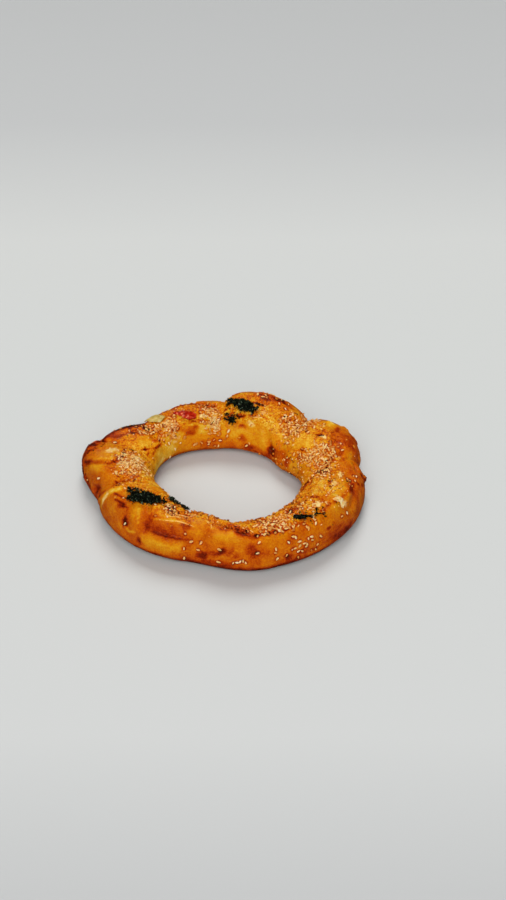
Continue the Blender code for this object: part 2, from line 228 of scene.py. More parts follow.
crust = {
    "rows": 512,  # round the ring
    "stepsOver": 124,  # steps over the top half of the rope's section
    "stepsUnder": 28,
    "ringRadius": 80.0,  # of the ring that the dough is shaped from
    "ropeRadius": 24.0,
    "crowding": 0.5,  # 0 spaces a lobe's rows evenly, 1 crowds them at its pinches
    "crinkleHeight": 0.95,  # lumps of seeded, cheesy dough
    "crinkleSize": 4.0,
    "crumbHeight": 0.55,
    "crumbSize": 1.8,
    "crinkleTurn": 107.0,  # middle and half width of the lumpy band over the rope
    "crinkleSpread": 36.0,
    "smoothShare": 0.2,  # how lumpy the smooth domes and sides still are
    "edgeWobble": 2.6,  # how far the edges of brown patches wander
    "wobbleSize": 6.0,
    "wholeWobble": 4.0,  # patches smaller than this wander less
    "lineWobble": (0.1, 0.25),  # the thin lines of browning, painted shade and painted highlight wander less, along and across
    # how brown the crust is by turn, before its patches: 0 pale dough, 1 burnt; darker low on the side and
    # under it, partly from browning on the tray and partly as painted shade along the bottom edge
    "bakeAndLowShadeByTurn": [
        (-60, 0.92), (-25, 0.88), (-10, 0.78), (2, 0.60), (20, 0.54), (45, 0.52), (62, 0.50), (80, 0.45),
        (100, 0.38), (125, 0.32), (145, 0.31), (162, 0.33), (178, 0.42), (190, 0.56), (215, 0.74),
        (300, 0.92),
    ],
    "foldShade": 0.05,  # painted shade: how much darker each millimetre of a fold's depth is, and how much paler each millimetre of its height
    "lumpGapShade": 0.16,  # and how much painted shade each millimetre between the lumps adds, paler on their tops
    "unevenBake": 0.10,
    "unevenBakeSize": 11.0,
    "darkest": 0.85,  # patches that overlap are held near this
    "pastDarkest": 0.35,  # the share that stays of what goes past it
}

# How brown the crust is, with a few patches of painted shade in creases: angle, turn, half size along and
# across, amount, and any slant in degrees
bakeAndShadePatches = [
    # right dome and the pinches beside it
    (14, 63, 9, 8, 0.17), (13, 38, 16, 6, 0.13), (12, 77, 5, 4, 0.08), (4, 60, 7, 6, -0.06),
    (3, 84, 4, 4, -0.12), (15, 134, 6, 6, 0.08), (26, 66, 6, 6, -0.18), (18, 120, 8, 8, -0.07),
    (9.5, 148, 1.8, 2.0, 0.34), (12, 131, 2.4, 1.8, 0.26), (14.5, 166, 2.8, 4.0, 0.34),
    (1, 162, 4, 3, 0.12), (19, 94, 1.6, 1.4, 0.70), (5, 150, 3, 4, 0.10),
    # far dome
    # (38, 164) and (33, 164) are painted shade in the crumpled pinch on the inner side
    (38, 164, 4.2, 5.4, 0.40), (33, 164, 3.6, 4.0, 0.28), (36, 148, 9, 7, 0.16), (24, 162, 8, 6, 0.16),
    (46, 183, 16, 3.6, 0.26), (52, 156, 9, 6, -0.04), (46, 131, 2.2, 2.4, 0.20), (64, 77, 7, 5, 0.30),
    (69, 72, 4, 4, 0.16), (57, 69, 7, 4, 0.26), (45, 60, 4, 3, -0.12), (57, 70, 5, 3.2, 0.34),
    (51, 66, 4, 2.4, 0.14), (82, 68, 6, 3, 0.16), (63, 121, 3, 3, 0.26), (81, 120, 3, 4, 0.26),
    (64.5, 96.5, 4.6, 1.2, 0.42), (46, 92, 1.2, 2.2, 0.40), (64, 138, 5, 2.6, -0.16),
    (74, 128, 5, 1.8, 0.16, 5), (67, 127, 4, 1.6, 0.14), (70, 145.5, 2.8, 1.6, 0.16, 10),
    (69, 165, 4.2, 2.6, 0.26), (74, 86, 12, 3.0, 0.12), (55, 140, 8, 5, -0.04),
    # far left lobe
    (104, 100, 3, 4, 0.20), (87, 109, 3, 3, 0.26), (118.5, 144, 7.2, 4.8, 0.40), (113, 106, 3, 4, 0.12),
    (123, 84, 4, 3, 0.14), (126, 135, 3, 3, 0.16), (113, 82, 8, 3, 0.08), (116, 123, 7, 2.0, 0.16),
    (108, 96, 4, 3, 0.16), (93, 168, 7, 4, 0.10), (90, 178, 22, 5, 0.14), (21, 174, 8, 6, 0.10),
    (29, 157, 6, 5, 0.10), (150, 168, 14, 8, -0.24), (158, 181, 16, 4, -0.16), (64, 180, 6, 4, 0.16),
    (104, 139, 6, 8, -0.18),
    # band above the ear
    (144.5, 82, 3, 3.2, 0.30), (144, 101, 2, 3, 0.20), (152.5, 141, 5.0, 1.8, 0.44),
    (146.5, 130, 1.2, 1.4, 0.40), (149, 112, 2.4, 6, 0.14), (157, 118, 6, 6, -0.08),
    (145, 84, 3, 3, 0.18), (159, 96, 3, 4, 0.12), (139, 132, 5, 6, -0.10),
    (153.5, 88, 2.6, 4.0, 0.44, -20), (158, 72, 4.6, 5, 0.30), (150, 75, 4, 3, 0.20),
    (162.5, 127, 2.6, 0.9, 0.42, 40), (156, 50, 12, 5, 0.28), (149, 66, 13, 3.6, 0.36, -8),
    (150, 126, 2.6, 2.4, 0.30), (116, 66, 18, 3.5, 0.22),
    # ear
    # (184.6, 80), (182, 57), (178, 37) and (175, 24) are painted shade along the ear crease
    (168.5, 112, 1.8, 1.2, 0.62), (174, 102, 8, 1.2, 0.28), (184.6, 80, 0.9, 7, 0.14),
    (182, 57, 1.0, 6, 0.12, -18), (178, 37, 1.5, 6, 0.16, -30), (175, 24, 2.2, 4, 0.14, -30),
    (172, 57, 2.8, 4, 0.22), (172, 36, 3.6, 7, 0.24), (167, 44, 3.0, 7, 0.42), (192, 14, 2.6, 5, 0.10),
    (197, 9, 3.6, 6, 0.22), (168, 180, 9, 5, -0.16), (176, 86, 8, 5, -0.10, -10),
    (181, 5, 10, 3.5, 0.16), (184, 56, 8, 9, -0.18), (186, 102, 6, 1.6, 0.14, 10),
    (171, 106, 3, 3, -0.10),
    # near left lobe
    (204.5, 98, 2.4, 3.4, 0.28), (215, 18, 9, 8, -0.08), (218, 62, 4, 5, 0.10),
    (233.5, 10, 2.4, 2.8, 0.32), (236, 50, 3.4, 9, 0.16), (223.6, 25, 2.4, 3.6, 0.34),
    (246, 50, 14, 7.5, 0.10, 4), (250, 60, 8, 4, 0.05, 8), (243, 14, 16, 6, -0.12),
    (226, 48, 4.5, 9, -0.08), (225, 120, 7, 6, 0.12), (234, 126, 6, 5, 0.14), (243.5, 98, 4, 4, 0.26),
    (253, 96, 4, 4, 0.24), (240, 118, 7, 4, 0.16), (256, 112, 8, 4, 0.20),
    # near lobe
    (263, 12, 5.4, 2.8, 0.34, 12), (272, 24, 5.0, 3.0, 0.34, 40), (276, 24, 6, 5, 0.20),
    (256, 24, 3, 4, 0.12), (268, 17, 3, 3, 0.20), (284, 30, 5, 8, 0.20), (270, 0, 14, 3, 0.16),
    (275, 54, 9, 4.4, -0.11), (280, 80, 10.0, 4.4, 0.22, -32), (280, 70, 6, 3.6, 0.30, -30),
    (273, 74, 4, 3, 0.24), (255, 66, 4, 5, 0.22), (286, 64, 2.6, 4, 0.16, -50), (262, 52, 5, 10, -0.04),
    (285, 120, 12, 4, 0.14),
    # near right lobe
    (292, 108, 6, 5, 0.26), (309, 104, 5, 7, 0.26), (326, 3, 14, 3.4, 0.26),
    (325, 95, 3.0, 3.4, 0.34, 30), (331, 74, 4, 2.6, -0.20), (342.5, 140, 4, 2.4, 0.34),
    (347.5, 129, 4, 2.2, 0.30, 15), (332.5, 85, 2.2, 1.6, 0.22), (339, 148, 6, 5, 0.24),
    (352, 110, 5, 6, 0.28), (354, 144, 7, 7, 0.12), (348, 62, 3.2, 3, 0.20), (342, 47, 6, 8, 0.16),
    (346, 126, 9, 10, 0.08), (353, 48, 4, 7, 0.14), (335, 68, 9, 8, -0.14), (333, 98, 10, 5, -0.16),
    (327, 60, 4, 4, -0.10), (318, 30, 2.4, 1.6, 0.34), (322, 20, 7, 6, 0.08), (299, 8, 3, 3, 0.14),
    (309, 0, 5, 3, -0.12), (321, 14, 14, 5, 0.10), (303, 62, 5, 4, -0.08), (303, 24, 4, 4, -0.14),
    (321, 72, 4, 4, -0.12), (291, 60, 3, 3, -0.08), (313, 92, 4, 4, 0.12), (356, 22, 4, 5, 0.26),
    (341, 90, 2.4, 1.4, 0.26),
]

# Thin lines of browning, of painted shade along creases, and of paler painted highlights along ridges:
# places along the line, half width and amount
browningShadeAndHighlightLines = [
    # painted shade along the crease under the panel
    ([(238, 33), (244, 34), (250, 35), (256, 37)], 1.0, 0.15),
    # painted shade in a slit
    ([(222.5, 48), (222.8, 28)], 1.0, 0.16),
    ([(209.5, 52), (213, 56), (216, 58)], 1.1, 0.36),
    ([(213, 46), (216, 49), (219.5, 52)], 1.1, 0.34),
    ([(217, 44), (219, 46), (221.5, 50)], 1.1, 0.30),
    # a painted highlight along the ridge of the lip seam
    ([(203, 8), (205.5, 34), (207, 50), (210, 64)], 1.5, -0.34),
    ([(224, 20), (227, 15), (231, 21)], 0.9, -0.26),
    # a painted highlight along a rib
    ([(228, 62), (230, 51), (231.5, 38)], 1.1, -0.24),
    ([(276, 17), (278, 31)], 0.9, -0.24),
    # painted highlights along the ridge
    ([(238, 58), (246, 69), (252, 74), (259, 70)], 1.0, -0.14),
    ([(240, 72), (246, 82), (252, 92)], 1.0, -0.10),
    # painted shade along the ear crease
    ([(185, 88), (184.6, 76), (182, 57), (178, 37), (175, 24)], 0.9, 0.14),
    ([(170, 99), (176, 102), (182, 97), (185, 88)], 1.0, 0.34),
    ([(196, 12), (200, 26), (203, 38)], 1.6, 0.24),
    ([(139, 68), (146, 65), (152, 61), (158, 57), (163, 51)], 1.8, 0.30),
    ([(164, 54), (167, 46), (169, 34), (171, 22), (174, 12), (180, 6)], 1.8, 0.26),
    ([(106, 68), (116, 66), (128, 63)], 1.4, 0.20),
    ([(61, 95), (68, 98)], 1.1, 0.34),
    # painted shade along the crease over the near lobe
    ([(270, 97), (276, 93), (282, 87), (288, 68)], 0.8, 0.10),
    ([(274, 84), (279, 76), (284, 66)], 0.8, 0.14),
    # painted shade in a small crease
    ([(160, 133), (164.5, 122)], 0.9, 0.42),
    ([(147, 138), (150, 142), (154, 143), (157, 139)], 1.1, 0.34),
    ([(68, 146), (72, 145)], 1.0, 0.16),
    # painted shade in the grooves
    ([(18.5, 79), (20, 71)], 0.9, 0.30),
    ([(20.5, 68), (22.5, 60), (24, 56)], 1.1, 0.32),
    ([(25, 82), (26, 66), (27, 52)], 1.6, -0.18),
    ([(337, 150), (342, 142), (347, 130), (350, 124)], 1.1, 0.34),
    ([(250, 130), (262, 128), (276, 127), (290, 126), (304, 128), (318, 132)], 1.4, 0.22),
]

# Where the lumpy band is interrupted by smooth dough, as above
smoothPatches = [
    (155, 117, 9, 8, 0.9), (177, 76, 8, 7, 0.8), (117, 140, 12, 5, 0.8), (128, 152, 10, 6, 0.7),
    (52, 145, 14, 6, 0.8), (34, 140, 7, 10, 0.7), (17, 122, 5, 4, 0.7), (8, 76, 8, 5, 0.8),
    (262, 70, 5, 8, 0.7), (276, 58, 12, 7, 0.8), (222, 118, 8, 5, 0.7), (332, 76, 6, 5, 0.6),
    (338, 60, 8, 7, 0.8), (72, 146, 10, 4, 0.6), (242, 50, 20, 8, 0.7), (62, 74, 12, 4, 0.5),
]

# Pale melted cheese that shows through, and one painted highlight along the lip seam at angle 205, as above
cheeseAndGlintPatches = [
    (5, 132, 5, 5, 0.35), (64, 138, 4.6, 3.2, 0.42), (105, 116, 3.0, 4, 0.55), (16.5, 93, 3.0, 1.6, 0.6),
    (188, 96, 6, 4, 0.45), (60, 106, 4, 4, 0.2), (134, 148, 8, 7, 0.3), (174, 86, 7, 4, 0.5, -10),
    (186, 118, 14, 6, 0.35), (321, 83, 3.2, 2.6, 0.8), (349, 80, 5, 1.7, 0.85), (331, 70, 4, 3, 0.35),
    (341, 84, 5, 2.6, 0.4), (331, 52, 3.6, 5, 0.4, -10), (96, 132, 7, 8, 0.4), (133, 106, 4, 4, 0.5),
    (130, 122, 6, 5, 0.3), (298, 85, 9, 8, 0.15), (243, 86, 5, 3, 0.35), (257, 97, 4, 2, 0.35),
    # (205, 28) is a painted highlight along the lip seam
    (57, 110, 5, 4, 0.15), (205, 28, 1.5, 10, 0.5, -12), (35, 105, 5, 7, 0.2), (178, 120, 4, 5, 0.3),
    (240, 104, 4, 3, 0.4), (200, 96, 8, 4, 0.3),
]


def patchSum(patches, angle, turn, reach, wander):
    total = np.zeros(len(angle))
    for around, over, halfAlong, halfAcross, amount, *slant in patches:
        along, across = offsetsTo((around, over), angle, turn, reach)
        along = along + wander[0] * min(1, halfAlong / crust["wholeWobble"])
        across = across + wander[1] * min(1, halfAcross / crust["wholeWobble"])
        lean = math.radians(sum(slant))
        u = (along * math.cos(lean) + across * math.sin(lean)) / halfAlong
        v = (across * math.cos(lean) - along * math.sin(lean)) / halfAcross
        total += amount * fade(u * u + v * v, 2.2)
    return total


def crustPlaces(mesh):
    # the angle and turn of each point of the ring, with rows on every pinch
    x, y, z = coordinates(mesh).T / mm
    rows, over, under = crust["rows"], crust["stepsOver"], crust["stepsUnder"]
    row = np.round(np.degrees(np.arctan2(y, x)) % 360 / 360 * rows).astype(int) % rows
    lift = np.degrees(np.arctan2(z, np.hypot(x, y) - crust["ringRadius"])) % 360
    step = np.round(lift / 360 * (over + under)).astype(int) % (over + under)
    turn = np.where(step <= over, 180 * step / over, 180 + 180 * (step - over) / under)
    span = lobeStarts(np.array([90.0]))[1][0]
    ends = np.round(np.cumsum(span) / 360 * rows).astype(int)
    firsts = np.concatenate([[0], ends[:-1]])
    lobe = np.searchsorted(ends, row, side="right")
    even = (row - firsts[lobe]) / (ends - firsts)[lobe]
    share = mix(even, (1 - np.cos(np.pi * even)) / 2, crust["crowding"])
    start, reach = lobeStarts(turn)
    every = np.arange(len(row))
    return start[every, lobe] + share * reach[every, lobe], turn


def lumpyBand(angle, turn, reach, wander):
    # 1 where seeds and cheese make the dough lumpy, towards 0 on the smooth domes and sides
    band = fade((turn - crust["crinkleTurn"]) / crust["crinkleSpread"], 4)
    band *= 1 - np.clip(patchSum(smoothPatches, angle, turn, reach, wander), 0, 1)
    return mix(crust["smoothShare"], 1.0, band)


def makeCrust():
    # at half its rows and steps first, because Blender's torus stops at 256 rows
    deselectAll()
    bpy.ops.mesh.primitive_torus_add(
        major_segments=crust["rows"] // 2,
        minor_segments=(crust["stepsOver"] + crust["stepsUnder"]) // 2,
        major_radius=crust["ringRadius"] * mm,
        minor_radius=crust["ropeRadius"] * mm,
    )
    piece = bpy.context.object
    piece.name = "bakedCrust"
    finer = piece.modifiers.new("finer", "SUBSURF")
    finer.subdivision_type = "SIMPLE"
    finer.levels = finer.render_levels = 1
    applyAll(piece)
    angle, turn = crustPlaces(piece.data)
    places = smoothDough(angle, turn)
    reach = np.hypot(places[:, 0], places[:, 1])
    wander = [noiseAt(places, crust["wobbleSize"], shift) * crust["edgeWobble"] for shift in (20.0, 31.0)]
    lumpy = lumpyBand(angle, turn, reach, wander) * overUnderside(turn, 0.3)
    lumps = noiseAt(places, crust["crinkleSize"], 5.0) * crust["crinkleHeight"]
    lumps += noiseAt(places, crust["crumbSize"], 9.0) * crust["crumbHeight"]
    lumps *= lumpy
    lift = foldRelief(angle, turn, places) + lumps
    places = places + doughNormals(angle, turn) * lift[:, None]
    piece.data.vertices.foreach_set("co", (places * mm).ravel())
    # browning by turn, with painted shade along the bottom edge
    turns, levels = zip(*crust["bakeAndLowShadeByTurn"])
    bakeAndShade = np.interp((turn + 60) % 360 - 60, turns, levels)
    bakeAndShade += patchSum(bakeAndShadePatches, angle, turn, reach, wander)
    # painted shade: creases and the gaps between lumps are darkened, and ridges and lump tops lightened
    bakeAndShade -= (lift - lumps) * crust["foldShade"] + lumps * crust["lumpGapShade"]
    bakeAndShade += noiseAt(places, crust["unevenBakeSize"], 40.0) * crust["unevenBake"]
    along, across = crust["lineWobble"]
    for line, halfWidth, amount in browningShadeAndHighlightLines:
        apart = lineDistance(line, angle + wander[0] * along, turn + wander[1] * across, reach)
        bakeAndShade += amount * fade(apart / halfWidth)
    bakeAndShade = np.minimum(bakeAndShade, crust["darkest"] + (bakeAndShade - crust["darkest"]) * crust["pastDarkest"])
    addAttribute(piece.data, "bakeAndShade", bakeAndShade)
    # melted cheese, with the painted highlight along the lip seam
    addAttribute(piece.data, "cheese", patchSum(cheeseAndGlintPatches, angle, turn, reach, wander))
    addAttribute(piece.data, "lumpy", lumpy)
    bpy.ops.object.shade_smooth()
    return piece


bakedCrust = makeCrust()
crustTree = BVHTree.FromObject(bakedCrust, bpy.context.evaluated_depsgraph_get())
print("crust shaped")


def onCrust(angle, turn, lift=0.0):
    # the place on the finished crust, in millimetres, and the way up there
    near = doughSurface(np.array([float(angle)]), np.array([float(turn)]))[0]
    spot, up = crustTree.find_nearest(Vector(near) * mm)[:2]
    return spot / mm + up * lift, up


def shifted(place, along, across):
    reach = np.hypot(*smoothDough(np.array([float(place[0])]), np.array([float(place[1])]))[0][:2])
    return place[0] + math.degrees(along / reach), place[1] + math.degrees(across / dough["sectionRadius"])


def takeShape(piece):
    # the points and faces of a modelled piece, which is then removed
    points = coordinates(piece.data) / mm
    faces = [tuple(face.vertices) for face in piece.data.polygons]
    mesh = piece.data
    bpy.data.objects.remove(piece)
    bpy.data.meshes.remove(mesh)
    return points, faces


def joinCopies(name, shapes, settings, base=None, baseTone=0.0):
    # one piece of small copies, and of the base that they grow from, if there is one:
    # each setting is the shape's number, its matrix in millimetres, and a tone from 0 to 1
    points, faces, tones = [], [], []
    if base:
        points.append(coordinates(base.data) / mm)
        faces += [tuple(face.vertices) for face in base.data.polygons]
        tones.append(np.full(len(base.data.vertices), baseTone))
    count = sum(len(part) for part in points)
    for number, matrix, tone in settings:
        shape, skin = shapes[number]
        turned = shape @ np.array(matrix.to_3x3()).T + np.array(matrix.translation)
        points.append(turned)
        faces += [tuple(corner + count for corner in face) for face in skin]
        tones.append(np.full(len(shape), tone))
        count += len(shape)
    mesh = bpy.data.meshes.new(name)
    mesh.from_pydata((np.concatenate(points) * mm).tolist(), [], faces)
    addAttribute(mesh, "tone", np.concatenate(tones))
    piece = bpy.data.objects.new(name, mesh)
    bpy.context.scene.collection.objects.link(piece)
    pick(piece)
    bpy.ops.object.shade_smooth()
    return piece


def standOn(up, spin, lean=0.0):
    # turns a shape that lies along X so that its Z points up from the dough
    lay = Vector((0, 0, 1)).rotation_difference(up)
    return lay @ Quaternion((0, 0, 1), spin) @ Quaternion((0, 1, 0), -lean)


sesame = {
    "length": 3.1,
    "width": 1.55,
    "thickness": 1.1,
    "taper": 0.36,  # blunt at one end, pointed at the other
    "lean": 0.3,
    "widths": (0.88, 1.1),  # how uneven the width is
    "sink": (0.2, 0.5),  # share of the thickness that is in the egg wash
    "tones": (0.0, 0.8),  # of the seeds in a drift
    "loneTones": (0.45, 0.95),
    "spacing": 1.75,
    "clearOfToppings": 1.8,
    "tightness": 0.75,
    "unevenness": 0.14,
    "tries": 30,  # before a seed that finds no free spot is left out
    "seedShadeReach": 2.0,  # of the painted shade round a seed, where the egg wash also gathers and bakes darker
    # angle, turn, spread along and across, number
    "drifts": [
        (185, 118, 9, 6.5, 84), (197, 88, 5, 4, 8), (136, 115, 7, 8, 46), (141, 92, 5, 5, 12),
        (99, 116, 5, 11, 54), (96, 146, 6, 5, 4), (37, 89, 6, 8, 62), (28, 102, 5, 8, 30),
        (44, 92, 4, 4, 10), (6, 103, 5, 6, 62), (2, 116, 6, 6, 26), (6, 134, 6, 5, 12),
        (349, 104, 7, 7, 16), (348, 66, 6, 6, 7), (106, 177, 8, 3, 5), (64, 70, 13, 4, 8),
        (298, 86, 10, 6, 66), (309, 50, 12, 5, 6), (305, 34, 13, 6, 5), (301, 16, 12, 5, 8),
        (318, 96, 9, 6, 12), (245, 96, 9, 6, 12), (153, 80, 9, 7, 12), (60, 50, 14, 8, 9),
        (118, 45, 14, 8, 9), (60, 15, 40, 7, 10), (150, 25, 30, 7, 8),
    ],
    # seeds that lie by themselves
    "singles": [
        (50.5, 80), (47, 90), (347.5, 59), (254.6, 50), (258, 34), (255, 20), (261.5, 20), (262.5, 34),
        (255, 0), (271, 28), (287.5, 48), (286.3, 26), (276.5, 5), (278, 7), (279.3, 9), (280.5, 11),
        (281.5, 8), (223.7, 22), (192, 39), (84, 163), (83, 155), (299.5, 37), (302, 45), (304, 31),
        (309.5, 31), (313.5, 24), (330, 31), (326.5, 33), (352, 47), (270.5, 4), (294, 10), (300.5, 20),
        (303, 13), (304.5, 11), (298, 12), (311.5, 11), (240, 100), (243, 108), (64, 176), (91, 170),
    ],
}


def listedByPlace(points, faces):
    # Blender lists a new sphere's faces in another order each run, so this one lists them by place
    order = np.lexsort(points.T)
    rank = np.argsort(order)
    listed = []
    for face in faces:
        corners = [int(rank[corner]) for corner in face]
        first = corners.index(min(corners))
        listed.append(tuple(corners[first:] + corners[:first]))
    return points[order], sorted(listed)


def seedShape():
    deselectAll()
    bpy.ops.mesh.primitive_uv_sphere_add(segments=8, ring_count=6, radius=mm / 2)
    seed = bpy.context.object
    bpy.ops.object.mode_set(mode="EDIT")
    bpy.ops.mesh.select_all(action="SELECT")
    bpy.ops.transform.rotate(value=math.pi / 2, orient_axis="Y", center_override=(0, 0, 0))
    size = (sesame["length"], sesame["width"], sesame["thickness"])
    bpy.ops.transform.resize(value=size, center_override=(0, 0, 0))
    bpy.ops.object.mode_set(mode="OBJECT")
    points = coordinates(seed.data)
    narrow = 1 - sesame["taper"] * points[:, 0] / (sesame["length"] / 2 * mm)
    points[:, 1] *= narrow
    points[:, 2] *= mix(1, narrow, 0.5)
    seed.data.vertices.foreach_set("co", points.ravel())
    return listedByPlace(*takeShape(seed))


def pointTree(points):
    # for finding how near the nearest of these is
    tree = kdtree.KDTree(len(points))
    for k, point in enumerate(points):
        tree.insert(point, k)
    tree.balance()
    return tree


def strewSeeds():
    onTop = [node for name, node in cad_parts.items() if name != "bread_ring"]
    onTopTree = pointTree([vert.co / mm for node in onTop for vert in node.data.vertices])
    placed, settings = [], []
    wanted = [(place, 0.0, 0.0) for place in sesame["singles"]]
    lone = len(wanted)
    for angle, turn, along, across, number in sesame["drifts"]:
        wanted += [((angle, turn), along, across)] * number
    for number, (middle, along, across) in enumerate(wanted):
        for _ in range(sesame["tries"]):
            shift = draw.normal(0, 1, 2) * (along, across) * sesame["tightness"]
            spot, up = onCrust(*shifted(middle, *shift))
            near = min(((spot - other).length for other in placed), default=99)
            if onTopTree.find(spot)[2] > sesame["clearOfToppings"] and near > sesame["spacing"]:
                break
        else:
            continue
        placed.append(spot.copy())
        lean = draw.normal(0, sesame["lean"])
        scale = 1 + draw.normal(0, sesame["unevenness"])
        sunk = sesame["thickness"] * (0.5 - draw.uniform(*sesame["sink"]))
        turnTo = standOn(up, draw.uniform(0, 2 * math.pi), lean)
        size = Vector((scale, scale * draw.uniform(*sesame["widths"]), 1))
        matrix = Matrix.LocRotScale(spot + up * sunk, turnTo, size)
        tone = draw.uniform(*(sesame["loneTones"] if number < lone else sesame["tones"]))
        settings.append((0, matrix, tone))
    return placed, settings


seedSpots, seedSettings = strewSeeds()
sesameSeeds = joinCopies("sesameSeeds", [seedShape()], seedSettings)
print(len(seedSpots), "sesame seeds strewn")


def shadeRoundSeeds():
    # painted shade round each seed, where the egg wash that gathers also bakes darker
    seedTree = pointTree(seedSpots)
    near = np.array([seedTree.find(place)[2] for place in coordinates(bakedCrust.data) / mm])
    addAttribute(bakedCrust.data, "seedShade", fade(near / sesame["seedShadeReach"], 6))


shadeRoundSeeds()

herbs = {
    "leafLength": 2.8,
    "leafWidth": 1.1,
    "leafThickness": 0.28,
    "leaves": [(0.9, 0.25), (1.7, 0.35), (2.4, 0.2)],  # the curl and frill of each kind
    "coreVoxel": 0.5,
    "coreTone": 0.3,
    "tuftSpacing": 3.2,
    "spacings": (0.7, 1.2),  # how uneven that is
    "leafSizes": (0.5, 1.1),
    "headingSpread": 0.6,
    "mostLean": 0.9,
    "mostHeight": 1.5,  # of a leaf's foot over the dough
    "mostDrop": 0.4,
}
# node, how far its core is shrunk, the leaves in a tuft, how far they reach, their size, and a nudge
herbPinches = {
    "herbPinchFar": ("herb_clump_far", 0.6, 24, 1.1, 0.95, (1.2, -1.5)),
    "herbPinchFarSmall": ("herb_clump_far_small", 0.6, 18, 0.9, 0.8, (0.2, -0.8)),
    "herbPinchLeft": ("herb_clump_left", 0.5, 24, 0.9, 0.9, (0.8, -1.8)),
    "herbPinchLeftInner": ("herb_clump_left_inner", 0.5, 14, 0.8, 0.8, (0.8, -0.6)),
    "herbPinchRight": ("herb_clump_right", 0.9, 9, 0.6, 0.65, (-1.5, 0.0)),
}


def leafShape(curl, frill):
    # a scrap of curled leaf, pointed, cut from a small grid
    deselectAll()
    bpy.ops.mesh.primitive_grid_add(x_subdivisions=5, y_subdivisions=2, size=mm)
    leaf = bpy.context.object
    points = coordinates(leaf.data)
    share = points[:, 0] / mm + 0.5
    wide = np.sin(np.pi * np.clip(share * 0.9 + 0.06, 0, 1)) * (1 + frill * np.cos(share * 19))
    side = points[:, 1] / mm * wide
    leafLength, leafWidth = herbs["leafLength"], herbs["leafWidth"]
    points[:, 0] = np.sin(share * curl) / curl * leafLength * mm
    points[:, 1] = side * leafWidth * mm
    rise = (1 - np.cos(share * curl)) / curl * leafLength + np.abs(side) * leafWidth * 0.5
    points[:, 2] = rise * mm
    leaf.data.vertices.foreach_set("co", points.ravel())
    thick = leaf.modifiers.new("thickness", "SOLIDIFY")
    thick.thickness = herbs["leafThickness"] * mm
    thick.offset = 0
    applyAll(leaf)
    return takeShape(leaf)


def copyOfNode(node, name):
    # the node's own form, without its marks as a node, and with its loose triangles merged
    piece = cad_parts[node].copy()
    piece.data = piece.data.copy()
    piece.name = name
    piece.parent = None
    for key in list(piece.keys()):
        del piece[key]
    bpy.context.scene.collection.objects.link(piece)
    pick(piece)
    bpy.ops.object.mode_set(mode="EDIT")
    bpy.ops.mesh.select_all(action="SELECT")
    bpy.ops.mesh.remove_doubles(threshold=0.01 * mm)
    bpy.ops.object.mode_set(mode="OBJECT")
    piece.data.materials.clear()
    return piece


def roundOff(piece, voxel, smoothing):
    remesh = piece.modifiers.new("remesh", "REMESH")
    remesh.mode = "VOXEL"
    remesh.voxel_size = voxel * mm
    soften = piece.modifiers.new("soften", "SMOOTH")
    soften.iterations = smoothing
    soften.factor = 0.6
    applyAll(piece)


def growLumps(piece, height, size, shift, swell=0.0):
    pick(piece)
    places = coordinates(piece.data) / mm
    normals = np.empty(len(places) * 3)
    piece.data.vertices.foreach_get("normal", normals)
    lift = noiseAt(places, size, shift) * height + swell
    places += normals.reshape(-1, 3) * lift[:, None]
    piece.data.vertices.foreach_set("co", (places * mm).ravel())


def crustHeight(place):
    hit = crustTree.ray_cast(Vector((place.x, place.y, 1)), Vector((0, 0, -1)))[0]
    return hit.z if hit else 0.0


def layOn(piece, sink, nudge):
    # sinks a piece towards the dough and slides it along, keeping its height over the dough
    aside = Vector((*nudge, 0)) * mm
    for vert in piece.data.vertices:
        low = vert.co - crustTree.find_nearest(vert.co)[1] * sink * mm
        vert.co = low + aside + Vector((0, 0, crustHeight(low + aside) - crustHeight(low)))
    piece.data.update()


def clearOf(tufts, spot):
    for other in tufts:
        if (spot - other).length <= herbs["tuftSpacing"] * draw.uniform(*herbs["spacings"]):
            return False
    return True


def makeHerbPinch(name, leaves):
    node, shrink, leavesInTuft, reach, leafScale, nudge = herbPinches[name]
    core = copyOfNode(node, name + "Core")
    roundOff(core, herbs["coreVoxel"], smoothing=2)
    growLumps(core, height=0.5, size=1.2, shift=3.0, swell=-shrink)
    layOn(core, shrink, nudge)
    upper = [face.center / mm for face in core.data.polygons if face.normal.z > 0.3]
    tufts = []
    for k in draw.permutation(len(upper)):
        if clearOf(tufts, upper[k]):
            tufts.append(upper[k])
    settings = []
    for middle in tufts:
        lean = crustTree.find_nearest(middle * mm)[1]
        for _ in range(leavesInTuft):
            heading = draw.uniform(0, 2 * math.pi)
            spot = middle + standOn(lean, heading) @ Vector((abs(draw.normal(0, reach)), 0, 0))
            foot, up = crustTree.find_nearest(spot * mm)[:2]
            height = min((spot - foot / mm).dot(up), herbs["mostHeight"])
            height -= draw.uniform(0, herbs["mostDrop"])
            heading += draw.normal(0, herbs["headingSpread"])
            turnTo = standOn(up, heading, draw.uniform(0, herbs["mostLean"]))
            size = leafScale * draw.uniform(*herbs["leafSizes"])
            matrix = Matrix.LocRotScale(foot / mm + up * height, turnTo, Vector((size, size, size)))
            settings.append((int(draw.integers(len(leaves))), matrix, draw.random()))
    piece = joinCopies(name, leaves, settings, core, herbs["coreTone"])
    mesh = core.data
    bpy.data.objects.remove(core)
    bpy.data.meshes.remove(mesh)
    return piece


leafShapes = [leafShape(curl, frill) for curl, frill in herbs["leaves"]]
madePinches = {name: makeHerbPinch(name, leafShapes) for name in herbPinches}
print("herbs pinched on")

# node, how finely it is made, the height and size of its lumps, and a nudge
toppings = {
    "redPepper": ("red_pepper_piece", 0.32, 0.9, 2.4, (0, 0)),
    "paleSlice": ("pale_slice", 0.32, 0.5, 4.0, (0, 0)),
    "cheeseCurl": ("cheese_curl", 0.3, 0.7, 2.2, (-1.2, -1.6)),
}


